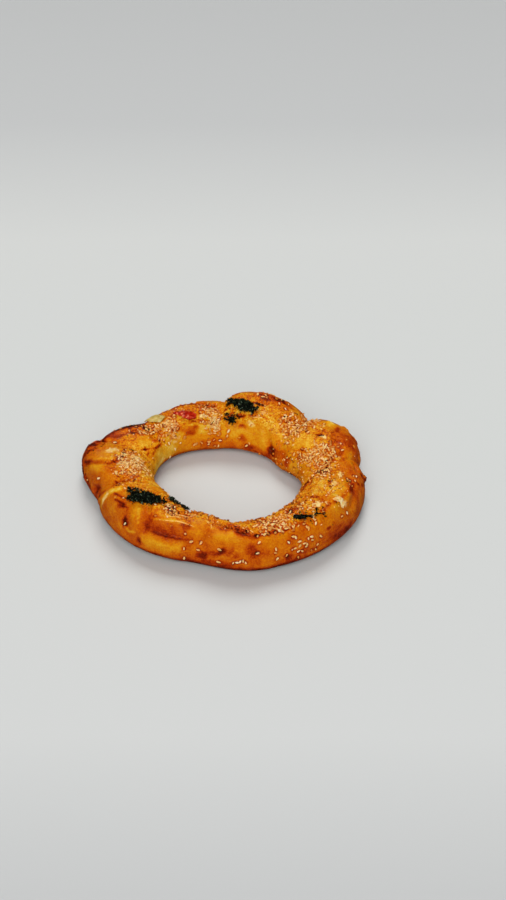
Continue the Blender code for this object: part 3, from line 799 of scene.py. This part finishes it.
def makeTopping(name):
    node, voxel, height, size, nudge = toppings[name]
    piece = copyOfNode(node, name)
    roundOff(piece, voxel, smoothing=3)
    growLumps(piece, height, size, shift=2.0)
    layOn(piece, 0.0, nudge)
    pick(piece)
    bpy.ops.object.shade_smooth()
    return piece


redPepper = makeTopping("redPepper")
paleSlice = makeTopping("paleSlice")
cheeseCurl = makeTopping("cheeseCurl")
print("toppings laid on")

threads = {
    "thickness": 0.85,
    "thinEnd": 0.35,  # share of the thickness at the ends
    "lift": -0.15,
    "tone": 0.7,  # of the crumbs' colours
    "lines": [
        [(241, 61), (246, 67), (251, 72), (256, 70), (258.5, 67)],
        [(243, 74), (247, 80), (251, 86)],
        [(246, 90), (250, 93), (254, 93)],
        [(266.4, 50), (267, 70), (266.4, 90)],
        [(282, 89), (285.5, 79), (287.6, 66)],
        [(345, 79), (348.5, 81), (352, 80)],
        [(318.5, 80), (320.5, 84), (323, 82)],
        [(334, 86), (338, 83), (342, 84)],
        [(189, 95), (196, 98), (203, 102)],
        [(57, 120), (61, 124), (64, 127)],
        [(73, 104), (76, 108), (78, 113)],
    ],
}


def makeThread(places):
    deselectAll()
    bpy.ops.curve.primitive_bezier_curve_add(radius=mm)
    strand = bpy.context.object
    strand.location = (0, 0, 0)
    curve = strand.data
    curve.splines.clear()
    line = curve.splines.new("BEZIER")
    line.bezier_points.add(len(places) - 1)
    for k, (place, knot) in enumerate(zip(places, line.bezier_points)):
        knot.co = onCrust(*place, threads["lift"])[0] * mm
        knot.handle_left_type = knot.handle_right_type = "AUTO"
        knot.radius = mix(threads["thinEnd"], 1, math.sin(math.pi * (k + 0.4) / (len(places) - 0.2)))
    curve.bevel_depth = threads["thickness"] / 2 * mm
    curve.bevel_resolution = 2
    curve.resolution_u = 8
    curve.use_fill_caps = True
    pick(strand)
    bpy.ops.object.convert(target="MESH")
    return bpy.context.object


strands = [makeThread(line) for line in threads["lines"]]
pick(*strands)
bpy.ops.object.join()
cheeseThreads = bpy.context.object
cheeseThreads.name = "cheeseThreads"
addAttribute(cheeseThreads.data, "tone", np.full(len(cheeseThreads.data.vertices), threads["tone"]))
growLumps(cheeseThreads, height=0.35, size=1.6, shift=6.0)
bpy.ops.object.shade_smooth()
print("cheese threads drawn")

crumbs = {
    "lengths": (0.8, 1.9),  # times a crumb's size
    "width": 0.75,
    "lift": 0.2,  # times its thickness
    # angle, turn, spread along and across, number
    "herbBits": [
        (224, 84, 7, 5, 26), (238, 118, 5, 3, 18), (75, 104, 7, 5, 22), (81, 126, 4, 3, 12),
        (310, 80, 4, 4, 18), (316, 66, 4, 2, 12), (308.5, 100, 0.9, 2, 9), (352, 118, 2, 3, 8),
        (342, 91, 1, 1, 5), (351, 112, 1, 1, 7), (359, 20, 2, 2, 4), (240, 112, 5, 3, 16),
        (346, 66, 0.8, 0.8, 3),
    ],
    "burntBits": [
        (18, 93, 0.6, 0.6, 3), (170, 110, 0.6, 0.6, 3), (328, 60, 0.4, 0.4, 2), (166, 48, 2, 2, 5),
        (97, 126, 2, 1, 3), (150, 63, 11, 3, 26), (171, 44, 5, 7, 16), (180, 8, 9, 4, 14),
        (196, 10, 4, 4, 7), (50, 56, 8, 5, 9), (204, 98, 0.8, 0.8, 2), (300, 86, 6, 4, 8),
        (243, 104, 5, 4, 8), (10, 149, 1, 1, 3), (320, 30, 2, 2, 2), (358, 12, 3, 3, 8),
    ],
    "cheeseBits": [
        (186, 116, 9, 7, 100), (197, 97, 6, 5, 24), (137, 116, 8, 9, 60), (99, 114, 6, 9, 60),
        (36, 92, 7, 9, 60), (28, 104, 6, 8, 36), (4, 110, 7, 10, 90), (346, 112, 8, 8, 34),
        (299, 84, 10, 6, 70), (316, 82, 7, 7, 70), (334, 84, 10, 8, 60), (249, 92, 10, 5, 40),
        (268, 98, 8, 4, 30), (212, 70, 5, 5, 14), (150, 93, 5, 3, 20), (8, 158, 5, 6, 40),
        (60, 112, 10, 6, 20), (118, 92, 9, 6, 20), (215, 160, 16, 4, 26), (255, 150, 18, 5, 34),
        (295, 140, 18, 5, 40), (330, 150, 16, 5, 34), (10, 160, 16, 4, 20), (110, 176, 26, 3, 16),
        (180, 150, 12, 5, 16),
    ],
    "crustBits": [
        (262, 124, 9, 3, 36), (287, 124, 12, 3, 46), (316, 127, 9, 3, 34), (241, 122, 6, 3, 16),
        (22, 176, 16, 4, 14), (206, 84, 2, 6, 8),
    ],
}


def crumbShape():
    deselectAll()
    bpy.ops.mesh.primitive_ico_sphere_add(subdivisions=1, radius=mm / 2)
    crumb = bpy.context.object
    growLumps(crumb, height=0.5, size=0.5, shift=12.0)
    return takeShape(crumb)


def strewCrumbs(name, smallest, largest, flatness, lightest=1.0):
    settings = []
    for angle, turn, along, across, number in crumbs[name]:
        for _ in range(number):
            spot, up = onCrust(*shifted((angle, turn), *draw.normal(0, 1, 2) * (along, across)))
            size = draw.uniform(smallest, largest)
            length, width = size * draw.uniform(*crumbs["lengths"]), size * crumbs["width"]
            turnTo = standOn(up, draw.uniform(0, 2 * math.pi))
            foot = spot + up * size * flatness * crumbs["lift"]
            matrix = Matrix.LocRotScale(foot, turnTo, Vector((length, width, size * flatness)))
            settings.append((0, matrix, draw.uniform(0, lightest)))
    return joinCopies(name, [crumbShape()], settings)


herbBits = strewCrumbs("herbBits", smallest=0.5, largest=1.4, flatness=0.45)
burntBits = strewCrumbs("burntBits", smallest=0.5, largest=1.4, flatness=0.5)
cheeseBits = strewCrumbs("cheeseBits", smallest=0.7, largest=1.9, flatness=0.7)
crustBits = strewCrumbs("crustBits", smallest=1.2, largest=2.8, flatness=0.8, lightest=0.45)
print("crumbs strewn")


def newFinish(name, **sockets):
    made = bpy.data.materials.new(name)
    made.use_nodes = True
    shader = made.node_tree.nodes["Principled BSDF"]
    for socket, value in sockets.items():
        shader.inputs[socket.replace("_", " ")].default_value = value
    return made, made.node_tree, shader


def addNode(tree, kind, inputs=None, **settings):
    made = tree.nodes.new("ShaderNode" + kind)
    for name, value in settings.items():
        setattr(made, name, value)
    for name, value in (inputs or {}).items():
        if isinstance(value, bpy.types.NodeSocket):
            tree.links.new(value, made.inputs[name])
        else:
            made.inputs[name].default_value = value
    return made


def plus(tree, one, two):
    return addNode(tree, "Math", {0: one, 1: two}, operation="ADD").outputs[0]


def times(tree, one, two):
    return addNode(tree, "Math", {0: one, 1: two}, operation="MULTIPLY").outputs[0]


def readAttribute(tree, name):
    return addNode(tree, "Attribute", attribute_name=name).outputs["Fac"]


def noiseNode(tree, size, detail=3.0, rough=0.55):
    # noise with lumps of this size in millimetres, fixed to the piece
    place = addNode(tree, "TexCoord").outputs["Object"]
    inputs = {"Vector": place, "Scale": 1 / (size * mm), "Detail": detail, "Roughness": rough}
    return addNode(tree, "TexNoise", inputs).outputs["Fac"]


def spread(tree, value, low, high, toLow=0.0, toHigh=1.0):
    inputs = {"Value": value, "From Min": low, "From Max": high, "To Min": toLow, "To Max": toHigh}
    return addNode(tree, "MapRange", inputs).outputs["Result"]


def ramp(tree, value, stops):
    made = addNode(tree, "ValToRGB", {"Fac": value})
    line = made.color_ramp
    while len(line.elements) < len(stops):
        line.elements.new(0.5)
    for element, (place, colour) in zip(line.elements, stops):
        element.position = place
        element.color = (*fromScreen(colour), 1)
    return made.outputs["Color"]


def fromScreen(colour):
    # a colour as a screen shows it, 0 to 255, to light
    parts = [part / 255 for part in colour]
    return [part / 12.92 if part < 0.04 else ((part + 0.055) / 1.055) ** 2.4 for part in parts]


def mixColour(tree, share, one, two):
    # the node's colour sockets come after its number and vector sockets
    return addNode(tree, "Mix", {0: share, 6: one, 7: two}, data_type="RGBA").outputs[2]


def bumpNode(tree, height, distance, strength):
    inputs = {"Height": height, "Distance": distance * mm, "Strength": strength}
    return addNode(tree, "Bump", inputs).outputs["Normal"]


def colourBy(tree, shader, value, stops):
    tree.links.new(ramp(tree, value, stops), shader.inputs["Base Color"])


def roughenBy(tree, shader, size, distance, strength):
    bump = bumpNode(tree, noiseNode(tree, size), distance, strength)
    tree.links.new(bump, shader.inputs["Normal"])


def unevenTone(tree):
    # each copy's own tone, and a little of the noise's
    return plus(tree, readAttribute(tree, "tone"), spread(tree, noiseNode(tree, 1.2), 0.3, 0.7, -0.2, 0.2))


crustFinish = {
    # how the crust looks from pale dough to burnt
    "stops": [
        (0.00, (246, 208, 112)),
        (0.15, (238, 184, 48)),
        (0.32, (228, 150, 14)),
        (0.48, (216, 115, 4)),
        (0.62, (198, 82, 2)),
        (0.74, (168, 48, 2)),
        (0.86, (114, 24, 3)),
        (1.00, (42, 12, 4)),
    ],
    "cheese": (248, 212, 136),
    # lump size in millimetres, how much the bake varies, and the share of that on smooth dough
    "mottling": [(9.0, 0.08, 1.0), (4.0, 0.12, 0.4), (1.4, 0.32, 0.3)],
    "seedShadeDepth": 0.22,  # how much darker the painted shade and egg wash round a seed are
    "fleckSize": 1.5,
    "fleckDepth": 0.3,
}


def finishCrust():
    made, tree, shader = newFinish(
        "eggWashedCrust",
        Specular_IOR_Level=0.14,
        Specular_Tint=(1.0, 0.7, 0.35, 1),
        Coat_Weight=0.4,
        Coat_Roughness=0.09,
    )
    lumpy, smoothShare = readAttribute(tree, "lumpy"), crust["smoothShare"]
    # painted shade round each seed
    seedShade = times(tree, readAttribute(tree, "seedShade"), crustFinish["seedShadeDepth"])
    level = plus(tree, readAttribute(tree, "bakeAndShade"), seedShade)
    for size, amount, onSmooth in crustFinish["mottling"]:
        patchy = spread(tree, noiseNode(tree, size, 4.0, 0.6), 0.3, 0.7, -amount, amount)
        level = plus(tree, level, times(tree, patchy, spread(tree, lumpy, smoothShare, 1.0, onSmooth, 1.0)))
    flecks = noiseNode(tree, crustFinish["fleckSize"], 1.0)
    flecks = spread(tree, flecks, 0.66, 0.72, 0.0, crustFinish["fleckDepth"])
    level = plus(tree, level, times(tree, flecks, spread(tree, lumpy, smoothShare, 1.0, 0.1, 1.0)))
    # browning, painted shade and painted highlights, turned into colour
    bakedAndShaded = ramp(tree, level, crustFinish["stops"])
    melted = plus(tree, readAttribute(tree, "cheese"), times(tree, noiseNode(tree, 2.2), 0.8))
    melted = spread(tree, melted, 0.66, 0.90)
    colour = mixColour(tree, melted, bakedAndShaded, (*fromScreen(crustFinish["cheese"]), 1))
    tree.links.new(colour, shader.inputs["Base Color"])
    gloss = spread(tree, noiseNode(tree, 3.5), 0.3, 0.7, 0.26, 0.5)
    tree.links.new(gloss, shader.inputs["Roughness"])
    grain = times(tree, noiseNode(tree, 0.5), 0.3)
    bump = bumpNode(tree, plus(tree, noiseNode(tree, 1.3, 4.0, 0.6), grain), 0.7, 0.8)
    tree.links.new(bump, shader.inputs["Normal"])
    tree.links.new(bump, shader.inputs["Coat Normal"])
    return made


def finishSeeds():
    inside = {"Subsurface_Weight": 0.15, "Subsurface_Scale": 0.0015}
    made, tree, shader = newFinish("toastedSesame", Roughness=0.3, **inside)
    stops = [(0.0, (200, 116, 36)), (0.3, (234, 168, 80)), (0.7, (250, 206, 130)), (1.0, (255, 232, 186))]
    colourBy(tree, shader, unevenTone(tree), stops)
    roughenBy(tree, shader, 0.4, 0.1, 0.5)
    return made


def finishHerbs():
    made, tree, shader = newFinish("bakedHerbs", Roughness=0.45, Specular_IOR_Level=0.25)
    tone = times(tree, readAttribute(tree, "tone"), spread(tree, noiseNode(tree, 1.6), 0.35, 0.65))
    # the palest grey-green leaves stand in for painted glints
    stops = [
        (0.0, (5, 7, 4)),
        (0.25, (14, 18, 9)),
        (0.45, (32, 42, 22)),
        (0.65, (68, 86, 58)),
        (0.85, (140, 158, 132)),
    ]
    colourBy(tree, shader, tone, stops)
    roughenBy(tree, shader, 0.6, 0.2, 0.6)
    return made


def finishPepper():
    inside = {"Subsurface_Weight": 0.2, "Subsurface_Scale": 0.003}
    made, tree, shader = newFinish("wetRedPepper", Roughness=0.16, **inside)
    # the palest pink stop paints highlights on the pepper
    stops = [(0.3, (104, 6, 2)), (0.46, (172, 22, 6)), (0.6, (206, 50, 16)), (0.74, (244, 160, 116))]
    colourBy(tree, shader, noiseNode(tree, 2.4, rough=0.6), stops)
    roughenBy(tree, shader, 0.9, 0.3, 0.5)
    return made


def finishSlice():
    inside = {"Subsurface_Weight": 0.4, "Subsurface_Scale": 0.004}
    made, tree, shader = newFinish("paleBakedSlice", Roughness=0.28, **inside)
    stops = [(0.3, (186, 146, 62)), (0.5, (206, 174, 92)), (0.7, (228, 204, 144))]
    colourBy(tree, shader, noiseNode(tree, 3.5), stops)
    roughenBy(tree, shader, 1.0, 0.2, 0.4)
    return made


def finishCheese():
    inside = {"Subsurface_Weight": 0.3, "Subsurface_Scale": 0.003}
    made, tree, shader = newFinish("meltedCheese", Roughness=0.36, **inside)
    stops = [(0.3, (234, 170, 84)), (0.48, (246, 208, 138)), (0.68, (252, 232, 184))]
    colourBy(tree, shader, noiseNode(tree, 1.8), stops)
    roughenBy(tree, shader, 0.9, 0.2, 0.5)
    return made


def finishCheeseBits():
    made, tree, shader = newFinish("bakedCheeseCrumbs", Roughness=0.36, Specular_IOR_Level=0.4)
    stops = [
        (0.0, (118, 42, 6)),
        (0.25, (204, 104, 14)),
        (0.5, (238, 160, 44)),
        (0.75, (250, 202, 112)),
        (1.0, (255, 228, 174)),
    ]
    colourBy(tree, shader, unevenTone(tree), stops)
    return made


def finishBurnt():
    made, tree, shader = newFinish("burntFlecks", Roughness=0.6)
    colourBy(tree, shader, noiseNode(tree, 1.0), [(0.3, (20, 10, 6)), (0.7, (62, 26, 12))])
    return made


def finishFloor():
    # pale, with painted light brightest in the middle and painted shade towards the front and the back
    made, tree, shader = newFinish("paleFloor", Roughness=0.7)
    place = addNode(tree, "TexCoord").outputs["Object"]
    away = addNode(tree, "SeparateXYZ", {0: place}).outputs["Y"]
    colourBy(tree, shader, spread(tree, away, *studio["floorReach"]), studio["paintedFloorLight"])
    return made


def wear(piece, finish):
    piece.data.materials.clear()
    piece.data.materials.append(finish)


def finishPiece(piece, finish, slot, *nodes):
    wear(piece, finish)
    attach(piece, "root")
    if nodes:
        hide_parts(*nodes)
    print(piece.name, "has", len(piece.data.polygons), "faces")


herbFinish = finishHerbs()
crumbFinish = finishCheeseBits()
finishPiece(bakedCrust, finishCrust(), "crust", "bread_ring")
finishPiece(sesameSeeds, finishSeeds(), "seeds")
finishPiece(redPepper, finishPepper(), "pepper", "red_pepper_piece")
finishPiece(paleSlice, finishSlice(), "slice", "pale_slice")
finishPiece(cheeseCurl, finishCheese(), "cheese", "cheese_curl")
finishPiece(cheeseThreads, crumbFinish, "cheese")
finishPiece(herbBits, herbFinish, "herbs")
finishPiece(burntBits, finishBurnt(), "crust")
finishPiece(cheeseBits, crumbFinish, "cheese")
finishPiece(crustBits, crumbFinish, "crust")
for name, facts in herbPinches.items():
    finishPiece(madePinches[name], herbFinish, "herbs", facts[0])
print("pieces finished")

studio = {
    "floorSize": 8.0,
    "floorReach": (-0.8, 1.2),  # what the painted floor light covers, from the front to the back
    "paintedFloorLight": [
        (0.0, (180, 181, 180)),
        (0.15, (186, 187, 186)),
        (0.21, (197, 198, 197)),
        (0.27, (210, 211, 209)),
        (0.44, (210, 212, 209)),
        (0.62, (211, 212, 209)),
        (0.78, (195, 196, 195)),
        (1.0, (190, 191, 190)),
    ],
    "worldLight": 0.20,
    "worldColour": (0.93, 0.96, 1.0),
    "cameraTarget": (0.0252, 0.0551, 0.0),
    "cameraElevation": 37.0,
    "cameraDistance": 1.10,
    "cameraLens": 51.2,
    "cameraSensor": 36.0,
    "lampDistance": 2.0,
    # each lamp's height over the horizon, its bearing (90 is behind the ring), width and strength
    "lamps": [
        (50, 87, 30, 1.80),
        (40, 262, 60, 2.10),
    ],
    # the only lamps that the glaze mirrors
    "glintLamps": [
        (52, 104, 7, 0.4),
        (56, 246, 7, 0.25),
    ],
}


def makeFloor():
    deselectAll()
    bpy.ops.mesh.primitive_plane_add(size=studio["floorSize"])
    floor = bpy.context.object
    floor.name = "floor"
    floor.visible_glossy = False
    wear(floor, finishFloor())


def makeLamp(name, height, bearing, width, strength):
    height, bearing = math.radians(height), math.radians(bearing)
    level = math.cos(height)
    towards = Vector((level * math.cos(bearing), level * math.sin(bearing), math.sin(height)))
    bpy.ops.object.light_add(type="SUN", location=towards * studio["lampDistance"])
    lamp = bpy.context.object
    lamp.name = name
    lamp.data.angle = math.radians(width)
    lamp.data.energy = strength
    lamp.rotation_euler = (-towards).to_track_quat("-Z", "Y").to_euler()
    return lamp


def makeLamps():
    for number, facts in enumerate(studio["lamps"]):
        soft = makeLamp(f"softLamp{number}", *facts)
        soft.visible_glossy = False
    for number, facts in enumerate(studio["glintLamps"]):
        glint = makeLamp(f"glintLamp{number}", *facts)
        glint.visible_diffuse = False


def makeWorld():
    world = bpy.data.worlds.new("softRoom")
    bpy.context.scene.world = world
    world.use_nodes = True
    light = world.node_tree.nodes["Background"]
    light.inputs["Color"].default_value = (*studio["worldColour"], 1)
    light.inputs["Strength"].default_value = studio["worldLight"]
    world.cycles_visibility.glossy = False


def makeCamera():
    elevation = math.radians(studio["cameraElevation"])
    back = Vector((0, -math.cos(elevation), math.sin(elevation)))
    place = Vector(studio["cameraTarget"]) + back * studio["cameraDistance"]
    bpy.ops.object.camera_add(location=place, rotation=(math.pi / 2 - elevation, 0, 0))
    camera = bpy.context.object
    camera.data.lens = studio["cameraLens"]
    camera.data.sensor_width = studio["cameraSensor"]
    bpy.context.scene.camera = camera


makeFloor()
makeLamps()
makeWorld()
makeCamera()
bpy.context.scene.view_settings.view_transform = "Standard"
print("floor, light and camera set")
